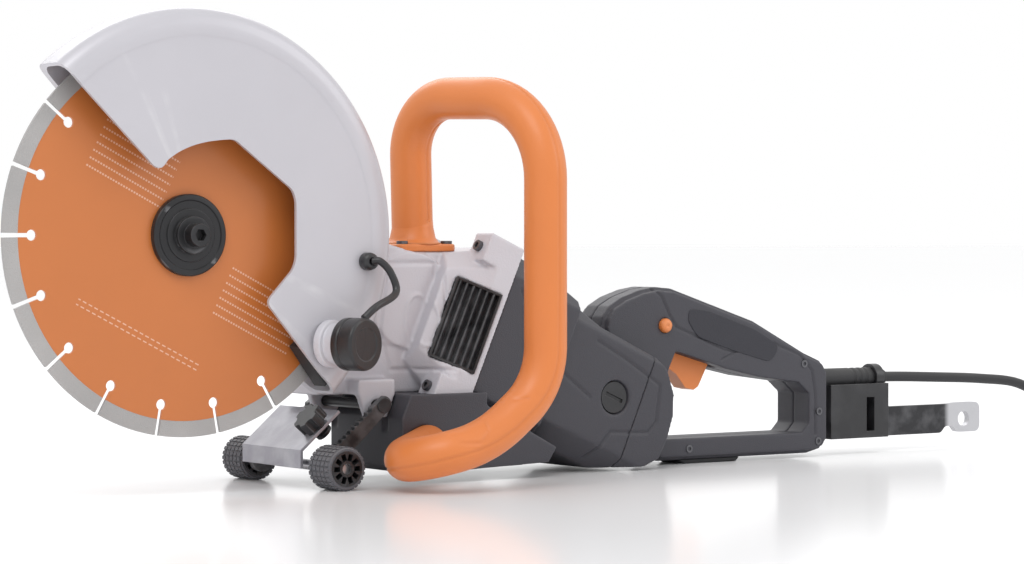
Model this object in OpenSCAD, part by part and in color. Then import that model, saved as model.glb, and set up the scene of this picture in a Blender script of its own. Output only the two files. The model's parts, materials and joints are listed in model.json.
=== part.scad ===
// Electric hand-held disc cutter for concrete, standing on its rollers and rear foot.
// Millimetres. +X runs rearwards, +Y to the operator's right, +Z up; the origin is on the
// floor under the middle of the machine. Parts are laid out in a working frame whose X and
// Y origin is the middle of the blade, and moved into place once at the end.

/* [Blade and guard] */
// Diameter of the diamond blade
blade_d = 300; // [250:10:350]
// Height of the spindle above the floor
spindle_z = 194; // [180:1:220]
// Number of diamond segments
segments = 18; // [12:1:24]
// Outside radius of the guard
guard_r = 168; // [160:1:190]

/* [Drive] */
// Height of the layshaft above the floor
lay_z = 142.5; // [130:0.5:160]
// Distance of the layshaft behind the spindle
lay_x = 215; // [190:1:240]
// Downward slope of the motor towards the rear, in degrees
motor_tilt = 24; // [10:1:30]
// Middle plane of the motor and of the rear handle, from the blade
body_y = 52; // [45:1:60]
// Teeth on the bevel gear
gear_teeth = 36; // [30:1:42]
// Teeth on the bevel pinion
pinion_teeth = 12; // [10:1:16]

/* [Handles] */
// Outside diameter of the front handle tube
tube_d = 33; // [28:1:38]
// Width of the rear handle
grip_w = 44; // [36:1:50]

/* [Rollers] */
// Diameter of each roller
roller_d = 34; // [30:1:44]
// Width of each roller
roller_w = 30; // [24:1:36]

/* [Cord] */
// Diameter of the power cord
cord_d = 9; // [7:0.5:11]

/* [Hidden] */
$fn = 64;
eps = 0.01;
front_x = -blade_d / 2;
rear_x = 657;
near_y = -113.5;
far_y = 128;
shift = [-(front_x + rear_x) / 2, -(near_y + far_y) / 2, 0];
arm_len = norm([lay_x, lay_z - spindle_z]);
arm_drop = atan((spindle_z - lay_z) / lay_x);
core_t = 2.2;
seg_t = 2.8;
seg_h = 12;
core_r = blade_d / 2 - seg_h;
flange_r = 30.6;
arm_y = [24, 60];
belt_y = [38, 50];
pulley_y = [37, 51];
lay_pulley_r = 16;
belt_ratio = 1.6;
spindle_pulley_r = lay_pulley_r * belt_ratio;
belt_gap = 0.35;
belt_t = 3;
pinion_r = 11;
gear_r = pinion_r * gear_teeth / pinion_teeth;
cone_len = norm([pinion_r, gear_r]);
pinion_cone = atan(pinion_r / gear_r);
gear_face = 11;
gear_rim = 34.2;
guard_from = -46;
guard_sweep = 178.6;
guard_y = [-25, 18];
guard_t = 3;
guard_bore = 28.1;
brush_s = 200;
cover_s = 226;
fit = 0.05;
axle = [119, 17];
pivot = [172, 62];
roller_y = [-34, 98];
port_at = [108, -25, 112];
port_turn = 19;
grip_y = [body_y - grip_w / 2, body_y, body_y + grip_w / 2];
button_at = [474, 118];
knob_at = [121, 12, 46.8];
trigger_pivot = [487, 99];
cord_y = body_y;

face_cut = [[-102, 111], [-41, 51], [-38, 49], [-34, 49], [-31, 52], [-29, 55], [-20, 61],
            [-8, 66], [5, 69], [18, 70.5], [27, 71], [77, 34], [80, 26], [80, -18], [77, -26],
            [54, -50], [109, -114], [109, -260], [-260, -260], [-260, 285]];
grip_outer = [[411, 116], [413, 126], [420, 135], [433, 142], [452, 148], [468, 150.5],
              [485, 149], [519, 138], [575, 120], [633, 91], [651, 84], [657, 74], [657, 16],
              [651, 7], [636, 3.5], [470, 3.5], [430, 30]];
grip_hole = [[474, 52], [478, 80], [486, 96], [531, 83], [540, 80], [577, 72], [622, 66],
             [634, 56], [634, 30], [626, 22], [474, 22]];
trigger_shape = [[484, 103], [534, 91], [531, 83], [521, 65], [516, 62], [507, 64],
                 [497, 76], [484, 84]];
rear_shape = [[247, 240], [387, 119], [444, 92], [452, 82], [459, 62], [458, 44], [452, 26],
              [443, 9], [427, 3], [200, 3], [200, 240]];
handle_path = [[232, 48, 186], [229, 48, 303], [258.5, -97, 299], [258.5, -97, 80],
               [205, -97, 38], [108, -97, 18.5], [206, -14, 30]];
handle_bend = [0, 44, 64, 60, 110, 26, 0];
tether_shape = [[-2, 2], [4, 3], [12, -1], [18, -9], [20, -20], [17, -31], [10, -39], [-2, -44],
                [-3, -40], [7, -36], [13, -29], [16, -20], [14, -11], [9, -5], [3, -2], [-2, -3]];
cord_pts = [[657, 52, 67], [740, 52, 67], [800, 52, 65], [860, 52, 62], [910, 53, 56],
            [955, 57, 36], [995, 70, 12], [1022, 92, 5], [1033, 118, 5]];
coil_at = [1085, 118];
coil_r = 52;
cord_rings = 30;
cord_sides = 10;
box_shape = [[128, 70], [246, 70], [256, 90], [262, 181], [188, 181], [176, 168], [152, 120],
             [128, 96]];
screw_spots = [[60, 48], [60, -48], [-60, 48], [-60, -48]];
vent_size = [68, 40];   // length along the motor's height, width along its axis
vent_rim = 3;
vent_y = 54;            // from the motor's axis to the middle of the vent
vent_s = 39;            // along the motor's axis
vent_slope = 19;        // the vents face outward and a little forward

// ---- frames and helpers ----
module along_y(y) translate([0, y, 0]) rotate([-90, 0, 0]) children();
module at_spindle() translate([0, 0, spindle_z]) children();
module arm_frame() translate([0, 0, spindle_z]) rotate([0, arm_drop, 0]) children();
module lay_frame() translate([lay_x, 0, lay_z]) children();
module motor_frame() translate([lay_x, body_y, lay_z]) rotate([0, 90 + motor_tilt, 0]) children();
module side_plate(pts, y0, y1) translate([0, y1, 0]) rotate([90, 0, 0]) linear_extrude(y1 - y0)
    polygon(pts);
module ring(r1, r0, h) difference() { cylinder(r = r1, h = h); translate([0, 0, -1])
    cylinder(r = r0, h = h + 2); }
module bearing(r1, r0, h) difference() {
    ring(r1, r0, h);
    for (z = [-1, h - 0.8]) translate([0, 0, z]) ring(r1 - 2.5, r0 + 2.5, 1.8);
}
module octagon(hx, hy, c) polygon([[-hx, -hy + c], [-hx + c, -hy], [hx - c, -hy], [hx, -hy + c],
                                   [hx, hy - c], [hx - c, hy], [-hx + c, hy], [-hx, hy - c]]);

// ---- blade ----
module blade_core() color("orange") at_spindle() along_y(-core_t / 2) difference() {
    cylinder(r = core_r, h = core_t, $fn = 180);
    translate([0, 0, -1]) cylinder(r = 12.75, h = core_t + 2);
    for (i = [0:segments - 1]) rotate([0, 0, i * 360 / segments]) {
        translate([core_r - 11, -1.5, -1]) cube([12, 3, core_t + 2]);
        translate([core_r - 11, 0, -1]) cylinder(r = 4, h = core_t + 2);
    }
}
module blade_segments() color("silver") at_spindle() along_y(-seg_t / 2)
    for (i = [0:segments - 1]) rotate([0, 0, i * 360 / segments + 0.65])
        rotate_extrude(angle = 360 / segments - 1.3) translate([core_r, 0]) square([seg_h, seg_t]);
module outer_flange() color("dimgray") at_spindle() along_y(-9.1) difference() {
    union() {
        cylinder(r = 20, h = 8);
        translate([0, 0, 3]) cylinder(r = flange_r, h = 5);
    }
    translate([0, 0, -1]) cylinder(r = 5.2, h = 12);
    translate([0, 0, 7]) ring(24, 14, 2);
}
module inner_flange() color("dimgray") at_spindle() along_y(-1.1) difference() {
    union() {
        translate([0, 0, core_t]) cylinder(r = flange_r, h = 5);
        translate([0, 0, core_t]) cylinder(r = 19, h = 10);
        cylinder(r = 12.7, h = 10);
    }
    translate([0, 0, -1]) cylinder(r = 10, h = 16);
}
module spindle_bolt() color("black") at_spindle() along_y(-22.1) difference() {
    union() {
        cylinder(r = 8.5, h = 10);
        translate([0, 0, 10]) cylinder(r = 14, h = 3);
        translate([0, 0, 12]) cylinder(r = 4.95, h = 27);
    }
    translate([0, 0, -1]) cylinder(r = 4.6, h = 7, $fn = 6);
}
module spindle() color("gray") at_spindle() along_y(-1.1) difference() {
    union() {
        cylinder(r = 10, h = 64);
        translate([0, 0, 12.2]) cylinder(r = 13, h = 13.9);
    }
    translate([0, 0, -1]) cylinder(r = 4.95, h = 20);
}
module pulley(r, bore) difference() {
    union() {
        cylinder(r = r, h = pulley_y[1] - pulley_y[0]);
        cylinder(r = r + 1.8, h = 0.7);
        translate([0, 0, pulley_y[1] - pulley_y[0] - 0.7]) cylinder(r = r + 1.8, h = 0.7);
    }
    translate([0, 0, -1]) cylinder(r = bore, h = 30);
    for (z = [3:2:11]) translate([0, 0, z]) rotate_extrude()
        polygon([[r + 0.5, -0.7], [r + 0.5, 0.7], [r - 1, 0]]);
}
module driven_pulley() color("silver") at_spindle() along_y(pulley_y[0]) pulley(spindle_pulley_r, 10);
module shaft_bearings() color("silver") {
    for (y = [25.5, 52.5]) at_spindle() along_y(y) bearing(21, 10 + fit, 10);
    for (y = [25.5, 78]) lay_frame() along_y(y) bearing(16, 8 + fit, 10);
    motor_frame() {
        translate([0, 0, 43]) bearing(16, 5 + fit, 9);
        translate([0, 0, 240]) bearing(15, 6 + fit, 9);
    }
}

// ---- arm and belt ----
module arm_outline(r1, r2) hull() { circle(r = r1, $fn = 48); translate([arm_len, 0])
    circle(r = r2, $fn = 48); }
module arm_prism(r1, r2, y0, y1) arm_frame() translate([0, y1, 0]) rotate([90, 0, 0])
    linear_extrude(y1 - y0) arm_outline(r1, r2);
module arm_split(front) arm_frame() translate([front ? -100 : 150, -10, -120]) cube([250, 120, 240]);
module arm_housing() color("silver") difference() {
    union() {
        intersection() { arm_prism(42, 38, arm_y[0], arm_y[1]); arm_split(true); }
        at_spindle() along_y(13.5) cylinder(r = 28, h = 11);
    }
    arm_prism(38, 34, pulley_y[0] - 0.6, arm_y[1] + 1);
    intersection() { arm_prism(38, 34, arm_y[0] + 4, arm_y[1] + 1); arm_frame()
        translate([34, 0, -60]) cube([200, 80, 120]); }
    at_spindle() along_y(25.5) cylinder(r = 21, h = 20);
    at_spindle() along_y(10) cylinder(r = 14, h = 20);
}
module arm_cover() color("silver") difference() {
    union() {
        intersection() { arm_prism(42, 38, arm_y[1], arm_y[1] + 4); arm_split(true); }
        at_spindle() along_y(52) cylinder(r = 26, h = 14);
    }
    at_spindle() along_y(51) cylinder(r = 21, h = 11.5);
    at_spindle() along_y(51) cylinder(r = 11, h = 13);
}
module belt_outline(t) hull() {
    circle(r = spindle_pulley_r + belt_gap + t, $fn = 80);
    translate([arm_len, 0]) circle(r = lay_pulley_r + belt_gap + t, $fn = 80);
}
module drive_belt() color("black") arm_frame() translate([0, belt_y[1], 0]) rotate([90, 0, 0])
    linear_extrude(belt_y[1] - belt_y[0]) difference() { belt_outline(belt_t); belt_outline(0); }

// ---- layshaft and bevel gears ----
module layshaft() color("gray") lay_frame() along_y(24.5) cylinder(r = 8, h = 63);
module drive_pulley() color("silver") lay_frame() along_y(pulley_y[0]) pulley(lay_pulley_r, 8);
function star(n, r0, rp, r1, ap, h0) = [for (i = [0:n - 1]) let (a = i * 360 / n)
    for (q = [[r0, -h0], [rp, -ap], [r1, -ap * 0.45], [r1, ap * 0.45], [rp, ap], [r0, h0]])
        [q[0] * cos(a + q[1]), q[0] * sin(a + q[1])]];
module bevel_teeth(n, cone, ap, h0) {
    z = cone_len * cos(cone);
    translate([0, 0, z]) mirror([0, 0, 1]) linear_extrude(z * gear_face / cone_len, scale = 1 -
        gear_face / cone_len)
        polygon(star(n, z * tan(cone - 4), z * tan(cone), z * tan(cone + 2.4), ap, h0));
}
module bevel_gear() color("gray") lay_frame() along_y(body_y) rotate([0, 0, motor_tilt]) difference() {
    union() {
        intersection() {
            bevel_teeth(gear_teeth, 90 - pinion_cone, 2.0, 3.1);
            cylinder(r = gear_rim, h = 40);
        }
        translate([0, 0, pinion_r - eps]) cylinder(r = 26, h = 6);
        translate([0, 0, pinion_r]) cylinder(r = 13, h = 15);
        translate([0, 0, pinion_r - 3.4]) cylinder(r = 16, h = 6);
    }
    translate([0, 0, -5]) cylinder(r = 8, h = 40);
}
module bevel_pinion() color("gray") motor_frame() rotate([0, 0, 90 + 180 / pinion_teeth]) difference() {
    union() {
        bevel_teeth(pinion_teeth, pinion_cone, 5.6, 10.5);
        translate([0, 0, gear_r - eps]) cylinder(r = 8, h = 8);
    }
    translate([0, 0, 15]) cylinder(r = 5, h = 40);
}

// ---- gearbox ----
module gearbox_solid() {
    lay_frame() along_y(22) cylinder(r = 38, h = 74);
    side_plate(box_shape, 25, 90);
    motor_frame() {
        translate([0, 0, 46]) mirror([0, 0, 1]) linear_extrude(34, scale = 0.7) octagon(66, 60, 18);
        translate([0, 0, 46 - eps]) linear_extrude(18) octagon(66, 60, 18);
        for (p = screw_spots) translate([p[0] - 12, p[1] - 12, 30]) cube([24, 24, 34]);
    }
    difference() { arm_prism(42, 38, arm_y[0], arm_y[1] + 4); arm_split(true); }
    for (y = [8, 82]) side_plate([[163, 52], [182, 52], [190, 71], [156, 71]], y, y + 7);
    side_plate([[156, 70], [190, 70], [190, 82], [156, 82]], 8, 30);
}
module gearbox_housing() color("silver") difference() {
    gearbox_solid();
    lay_frame() along_y(52) cylinder(r = 35, h = 26);
    difference() {
        arm_prism(38, 34, arm_y[0] + 12, arm_y[1] - 8);
        motor_frame() translate([0, 0, 40]) cylinder(r = 200, h = 100);
    }
    intersection() { arm_prism(38, 30, arm_y[0] + 4, arm_y[1]); arm_frame() translate([140, 0, -60])
        cube([40, 80, 120]); }
    lay_frame() along_y(24) cylinder(r = 12, h = 30);
    lay_frame() along_y(25.5) cylinder(r = 16, h = 15);
    lay_frame() along_y(70) cylinder(r = 16, h = 18);
    motor_frame() {
        translate([0, 0, 12]) cylinder(r = 15, h = 30);
        translate([0, 0, 42]) cylinder(r = 16, h = 30);
        translate([0, 0, 53]) cylinder(r = 54, h = 12);
    }
    vent_place() translate([0, -10, 0]) cube([vent_size[0], 30, vent_size[1]]);
    translate([pivot[0], 0, pivot[1]]) along_y(0) cylinder(r = 4, h = 100);
}
module vent_place() motor_frame() for (m = [0, 1]) mirror([0, m, 0])
    translate([4, -vent_y, vent_s]) rotate([vent_slope, 0, 0])
        translate([-vent_size[0] / 2, 0, -vent_size[1] / 2])
        children();
module vent_grilles() color("black") vent_place() {
    difference() {
        translate([0, -1, 0]) cube([vent_size[0], 5, vent_size[1]]);
        translate([vent_rim, -2, vent_rim]) cube([vent_size[0] - 2 * vent_rim, 7, vent_size[1] - 2 *
            vent_rim]);
    }
    for (i = [0:5]) translate([2, -0.5, 5.4 + i * 5.4]) cube([vent_size[0] - 4, 4, 2.2]);
}

// ---- motor ----
module motor_envelope() intersection() {
    motor_frame() {
        translate([0, 0, 64]) linear_extrude(72) octagon(70, 59, 20);
        translate([0, 0, 136 - eps]) linear_extrude(170) octagon(60, 54, 17);
    }
    side_plate(rear_shape, -20, 120);
}
module motor_cavity() motor_frame() {
    translate([0, 0, 60]) cylinder(r = 55, h = 70);
    translate([0, 0, 129]) cylinder(r = 50, h = 46);
    translate([0, 0, 174]) cylinder(r = 42, h = 48);
    translate([0, 0, 221]) cylinder(r = 30, h = 19);
    translate([0, 0, 239]) cylinder(r = 15, h = 12);
}
module brush_port(r, depth) motor_frame() for (m = [0, 1]) mirror([0, m, 0])
    translate([0, -54 - 1, brush_s]) rotate([-90, 0, 0]) cylinder(r = r, h = depth + 1);
module motor_housing() color("dimgray") difference() {
    intersection() { motor_envelope(); motor_frame() translate([-100, -100, 0])
        cube([200, 200, cover_s]); }
    motor_cavity();
    brush_port(14, 5);
    brush_port(6, 30);
}
module motor_rear_cover() color("dimgray") difference() {
    intersection() { motor_envelope(); motor_frame() translate([-100, -100, cover_s])
        cube([200, 200, 120]); }
    motor_cavity();
    grip_space();
}
module armature_shaft() color("silver") motor_frame() {
    translate([0, 0, 24]) cylinder(r = 5, h = 30);
    translate([0, 0, 54 - eps]) cylinder(r = 6, h = 196);
}
module armature_core() color("gray") motor_frame() translate([0, 0, 102]) difference() {
    cylinder(r = 26.5, h = 60);
    translate([0, 0, -1]) cylinder(r = 6, h = 62);
    for (i = [0:11]) rotate([0, 0, i * 30]) translate([20, -1.2, -1]) cube([8, 2.4, 62]);
}
module armature_windings() color("chocolate") motor_frame() for (z = [92, 162]) translate([0, 0, z])
    ring(24, 6, 10);
module commutator() color("peru") motor_frame() translate([0, 0, 188]) difference() {
    ring(15, 6, 24);
    for (i = [0:23]) rotate([0, 0, i * 15]) translate([13.6, -0.3, -1]) cube([2, 0.6, 26]);
}
module cooling_fan() color("gray") motor_frame() translate([0, 0, 70]) difference() {
    union() {
        cylinder(r = 50, h = 2.5);
        cylinder(r = 14, h = 14);
        for (i = [0:11]) rotate([0, 0, i * 30]) translate([13, -1, 2]) cube([36, 2, 11]);
    }
    translate([0, 0, -1]) cylinder(r = 6, h = 20);
}
module stator_core() color("gray") motor_frame() translate([0, 0, 102]) difference() {
    cylinder(r = 50, h = 60);
    translate([0, 0, -1]) cylinder(r = 27.1, h = 62);
    for (m = [0, 1]) mirror([m, 0, 0]) translate([27, 0, 30]) difference() {
        cube([34, 60, 62], center = true);
        translate([-21, 0, 0]) cylinder(r = 29.5, h = 64, center = true);
        translate([22, 0, 0]) cube([12, 62, 64], center = true);
    }
}
module field_windings() color("chocolate") motor_frame() for (m = [0, 1]) mirror([0, m, 0])
    for (z = [90, 162])
    translate([0, 0, z]) intersection() {
        ring(46, 29, 12);
        translate([-26, 10, 0]) cube([52, 40, 12]);
    }
module brush_holders() color("peru") motor_frame() for (m = [0, 1]) mirror([0, m, 0])
    translate([0, -48, brush_s]) rotate([-90, 0, 0]) difference() {
        cylinder(r = 6, h = 28);
        translate([-3, -4.5, -1]) cube([6, 9, 30]);
    }
module brushes() color("black") motor_frame() for (m = [0, 1]) mirror([0, m, 0])
    translate([-3, -36, brush_s - 4.5]) cube([6, 20.6, 9]);
module brush_caps() color("black") motor_frame() for (m = [0, 1]) mirror([0, m, 0])
    translate([0, -52, brush_s]) rotate([-90, 0, 0]) difference() {
        union() { cylinder(r = 13, h = 3); cylinder(r = 5.9, h = 4); }
        translate([-1.5, -9, -1]) cube([3, 18, 2.6]);
    }

// ---- guard ----
module guard_profile(q, r, y0, y1, c) polygon([[q, y0], [r - c, y0], [r - c * 0.3, y0 + c * 0.3],
    [r, y0 + c],
                                            [r, y1 - c], [r - c * 0.3, y1 - c * 0.3], [r - c, y1],
                                                [q, y1]]);
module guard_sector(q, r, y0, y1, c, a0, sweep) at_spindle() rotate([90, 0, 0]) rotate([0, 0, a0])
    rotate_extrude(angle = sweep, $fn = 128) mirror([0, 1, 0]) guard_profile(q, r, y0, y1, c);
module guard_shell() color("silver") difference() {
    union() {
        guard_sector(40, guard_r, guard_y[0], guard_y[1], 9, guard_from, guard_sweep);
        at_spindle() along_y(12) cylinder(r = 58, h = 5);
        at_spindle() along_y(13) cylinder(r = 34, h = 10);
    }
    guard_sector(36, guard_r - guard_t, guard_y[0] + guard_t, guard_y[1] - guard_t - 4, 8,
        guard_from - 5, guard_sweep + 10);
    at_spindle() side_plate(face_cut, guard_y[0] - 1, guard_y[0] + guard_t + 2);
    at_spindle() along_y(0) cylinder(r = guard_bore, h = 30);
    translate(port_at) rotate([0, 0, port_turn]) along_y(-8) cylinder(r = 12, h = 14);
}
module guard_deflector() color("dimgray") intersection() {
    at_spindle() rotate([90, 0, 0]) rotate([0, 0, -57]) rotate_extrude(angle = 26, $fn = 96)
        translate([112, 6]) square([45, 16]);
    at_spindle() side_plate([[84, -84], [112, -122], [128, -108], [100, -72]], -30, 0);
}
module port_frame() translate(port_at) rotate([0, 0, port_turn]) rotate([90, 0, 0]) children();
module dust_port() color("silver") port_frame() difference() {
    union() { translate([0, 0, 1]) cylinder(r = 18, h = 5); cylinder(r = 15, h = 32);
        translate([0, 0, -1.2]) cylinder(r = 11.9, h = 4); }
    translate([0, 0, -4]) cylinder(r = 10, h = 46);
}
module dust_cap() color("black") port_frame() difference() {
    translate([0, 0, 17]) cylinder(r = 20, h = 20);
    translate([0, 0, 16]) cylinder(r = 15 + fit, h = 17);
}
module cap_tether() color("black") {
    translate([142, -28, 174]) rotate([-25, 0, 0]) side_plate(tether_shape, -2.5, 2.5);
    translate([142, -34, 174]) along_y(0) cylinder(r = 6, h = 9);
}

// ---- swept tubes ----
function unit(v) = v / norm(v);
function turn(p, i) = acos(unit(p[i] - p[i - 1]) * unit(p[i + 1] - p[i]));
function arc_pts(p, b, i, n) = let (d0 = unit(p[i] - p[i - 1]), d1 = unit(p[i + 1] - p[i]), a =
    turn(p, i),
    w = unit(d1 - d0 * (d0 * d1)), s = p[i] - d0 * b[i] * tan(a / 2))
    [for (k = [0:n]) let (q = a * k / n) s + d0 * b[i] * sin(q) + w * b[i] * (1 - cos(q))];
function rounded(p, b, n) = concat([p[0]], [for (i = [1:len(p) - 2]) each arc_pts(p, b, i, n)],
    [p[len(p) - 1]]);
function tangents(p) = [for (i = [0:len(p) - 1]) unit(p[min(i + 1, len(p) - 1)] - p[max(i - 1, 0)])];
function level(v, d) = unit(v - d * (v * d));
function carry(t) = [for (i = 0, v = level([0.3, 0.8, 0.5], t[0]); i < len(t); i = i + 1, v =
    level(v, t[min(i, len(t) - 1)])) v];
module sweep(p, r, n) {
    t = tangents(p);
    c = carry(t);
    rows = [for (k = [0:len(p) - 1]) let (u = c[k], v = cross(t[k], u))
        [for (j = [0:n - 1]) p[k] + r * (cos(360 * j / n) * u + sin(360 * j / n) * v)]];
    polyhedron([for (q = rows) each q], concat(
        [[for (j = [0:n - 1]) j]],
        [for (k = [0:len(p) - 2]) for (j = [0:n - 1]) let (a = k * n, m = (j + 1) % n)
            [a + j, a + n + j, a + n + m, a + m]],
        [[for (j = [n - 1:-1:0]) (len(p) - 1) * n + j]]));
}

// ---- front handle ----
module front_handle() color("darkorange") {
    sweep(rounded(handle_path, handle_bend, 7), tube_d / 2, 20);
    difference() {
        translate([204, 24, 181]) cube([56, 48, 6]);
        for (p = [[211, 31], [211, 65], [253, 31], [253, 65]]) translate([p[0], p[1], 170])
            cylinder(r = 3, h = 20);
    }
}
module lower_bracket() color("dimgray") difference() {
    side_plate([[182, 14], [182, 52], [190, 70], [262, 70], [262, 60], [330, 24], [322, 12],
        [196, 8]], -14, 92);
    motor_clear();
    translate([204, 16, 20]) cube([40, 60, 45]);
    for (y = [7.5, 81.5]) side_plate([[150, 40], [183, 40], [191, 72], [150, 72]], y, y + 8);
    tube_end();
}
module motor_clear() motor_frame() {
    translate([0, 0, 64]) cylinder(r = 80, h = 200);
    for (p = screw_spots) translate([p[0] - 12, p[1] - 12, 30]) cube([24, 24, 34]);
    translate([0, 0, 46]) mirror([0, 0, 1]) linear_extrude(34, scale = 0.7) octagon(66, 60, 18);
    translate([0, 0, 46 - eps]) linear_extrude(18 + 2 * eps) octagon(66, 60, 18);
}
module tube_end() sweep([handle_path[5], handle_path[6] + unit(handle_path[6] - handle_path[5])],
    tube_d / 2 + 0.01, 40);

// ---- rear handle ----
module grip_space() side_plate(grip_outer, grip_y[0], grip_y[2]);
module grip_solid(y0, y1) difference() {
    union() {
        mid = (y0 < body_y - 1) ? [y0 + 6, y1] : [y0, y1 - 6];
        side_plate(grip_outer, mid[0], mid[1]);
        edge = (y0 < body_y - 1) ? [y0, y0 + 6] : [y1 - 6, y1];
        translate([0, edge[1], 0]) rotate([90, 0, 0]) linear_extrude(6) offset(delta = -3)
            polygon(grip_outer);
    }
    side_plate(grip_hole, -10, 120);
    side_plate([[480, 100], [536, 88], [552, 100], [540, 122], [482, 132], [476, 112]], body_y - 12,
        body_y + 12);
    side_plate([[481, 101], [541, 87], [539, 78], [481, 92]], body_y - 9, body_y + 9);
    side_plate([[560, 96], [620, 76], [640, 66], [660, 61], [660, 71], [622, 88], [564, 106]],
        body_y - 6, body_y + 6);
    along_button(-40, 60, 6.05);
}
module along_button(y, h, r) translate([button_at[0], body_y + y, button_at[1]]) rotate([-90, 0, 0])
    cylinder(r = r, h = h);
module grip_half(y0, y1) difference() {
    grip_solid(y0, y1);
    intersection() { motor_envelope(); motor_frame() translate([-100, -100, 0])
        cube([200, 200, cover_s]); }
    motor_cavity();
}
module rear_handle_left() color("dimgray") grip_half(grip_y[0], grip_y[1]);
module rear_handle_right() color("dimgray") grip_half(grip_y[1], grip_y[2]);
module grip_pad() color("black") for (s = [0, 1]) translate([0, s ? 2 * body_y : 0, 0]) mirror([0, s, 0])
    side_plate([[500, 132], [520, 130], [572, 113], [600, 98], [590, 84], [545, 96], [508, 108],
        [498, 122]], grip_y[0] - 1.2, grip_y[0]);
module rear_foot() color("black") side_plate([[500, 0], [556, 0], [560, 3.5], [494, 3.5]], body_y -
    16, body_y + 16);
module trigger() color("darkorange") difference() {
    side_plate(trigger_shape, body_y - 8, body_y + 8);
    translate([trigger_pivot[0], 0, trigger_pivot[1]]) along_y(0) cylinder(r = 1.6, h = 100);
}
module lockoff_button() color("darkorange") along_button(-25, 12, 6);
module switch_body() color("black") {
    side_plate([[500, 108], [546, 98], [549, 101], [538, 119], [502, 124]], body_y - 11, body_y + 11);
    translate([trigger_pivot[0], body_y - 12, trigger_pivot[1]]) along_y(0) cylinder(r = 1.5, h = 24);
}

// ---- fasteners ----
module body_screws() color("silver") {
    motor_frame() for (p = screw_spots) translate([p[0], p[1], 30]) rotate([180, 0, 0])
        cylinder(r = 4.5, h = 4);
    for (p = [[211, 31], [211, 65], [253, 31], [253, 65]]) translate([p[0], p[1], 187])
        cylinder(r = 5, h = 3);
    for (p = [[628, 82], [645, 40], [644, 14], [500, 13]]) translate([p[0], grip_y[0] - 1, p[1]])
        along_y(0) cylinder(r = 3.5, h = 1);
    translate([140, 21, 82]) along_y(0) cylinder(r = 6, h = 4);
}

// ---- roller carriage ----
module arm_bar(y) {
    d = [pivot[0] - axle[0], pivot[1] - axle[1]];
    difference() {
        union() {
            translate([axle[0], y, axle[1]]) rotate([0, -atan2(d[1], d[0]), 0]) translate([0, 0, -6])
                cube([norm(d), 6, 12]);
            translate([axle[0], y, axle[1]]) along_y(0) cylinder(r = 10, h = 6);
            translate([pivot[0], y, pivot[1]]) along_y(0) cylinder(r = 7.5, h = 6);
        }
        translate([axle[0], y - 1, axle[1]]) along_y(0) cylinder(r = 4, h = 8);
        translate([pivot[0], y - 1, pivot[1]]) along_y(0) cylinder(r = 4 + fit, h = 8);
    }
}
module carriage_arms() color("black") { arm_bar(-3); arm_bar(91); }
module carriage_plate() color("silver") difference() {
    side_plate([[100, 16], [102.5, 16], [102.5, 29], [136, 57.5], [134.5, 59.3], [100, 30]], 3, 91);
    translate(knob_at) rotate([0, -49.5, 0]) translate([0, 0, -10]) cylinder(r = 4.05, h = 20);
}
module pivot_pin() color("gray") translate([pivot[0], -4.5, pivot[1]]) along_y(0) {
    cylinder(r = 4, h = 103);
    for (z = [0, 101.6]) translate([0, 0, z]) cylinder(r = 6, h = 1.4);
}
module wheel_axle() color("gray") translate([axle[0], -30, axle[1]]) along_y(0) cylinder(r = 4, h = 154);
module wheel(y, face) color("black") translate([axle[0], y, axle[1]]) along_y(0) difference() {
    cylinder(r = 13.5, h = roller_w);
    translate([0, 0, -1]) cylinder(r = 4 + fit, h = roller_w + 2);
    for (i = [0:9]) rotate([0, 0, i * 36]) translate([6.2, -1.9, face]) cube([5.4, 3.8, 9]);
}
module near_wheel() wheel(roller_y[0], -1);
module far_wheel() wheel(roller_y[1], -1);
module tread(y) color("gray") translate([axle[0], y, axle[1]]) along_y(0)
    ring(roller_d / 2, 13.5, roller_w);
module near_tread() tread(roller_y[0]);
module far_tread() tread(roller_y[1]);
module carriage_knob() color("black") translate(knob_at) rotate([0, -49.5, 0]) difference() {
    union() { translate([0, 0, 3]) cylinder(r = 12, h = 11); translate([0, 0, -8])
        cylinder(r = 4, h = 12); translate([0, 0, -8]) cylinder(r = 7, h = 3); }
    for (i = [0:5]) rotate([0, 0, i * 60]) translate([13.5, 0, 2]) cylinder(r = 4, h = 20);
}

// ---- cord and tool ----
module cord_sleeve() color("black") translate([rear_x, cord_y, 67]) rotate([0, 90, 0]) difference() {
    union() { cylinder(r = 9, h = 62); translate([0, 0, 62 - eps]) cylinder(r1 = 9, r2 = 6.5, h = 20); }
    translate([0, 0, -1]) cylinder(r = cord_d / 2, h = 100);
}
function mix_pt(a, b, c, d, t) = 0.5 * ((2 * b) + (c - a) * t + (2 * a - 5 * b + 4 * c - d) * t * t +
    (3 * b - a - 3 * c + d) * t * t * t);
function cord_at(u) = let (n = len(cord_pts) - 1, i = min(floor(u), n - 1), t = u - i)
    mix_pt(cord_pts[max(i - 1, 0)], cord_pts[i], cord_pts[i + 1], cord_pts[min(i + 2, n)], t);
module power_cord() color("black")
    sweep([for (k = [0:cord_rings]) cord_at((len(cord_pts) - 1) * k / cord_rings)], cord_d / 2,
        cord_sides);
module cord_coil() color("black") translate([coil_at[0], coil_at[1], 0]) rotate_extrude()
    translate([coil_r - cord_d * 1.5, 0]) square([cord_d * 3, cord_d * 3]);
module plug() color("black") translate([coil_at[0], coil_at[1] + coil_r - cord_d - 20, cord_d * 3]) {
    cube([48, 40, 26]);
    for (y = [8, 27]) translate([48, y, 10]) cube([18, 5, 5]);
}
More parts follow.
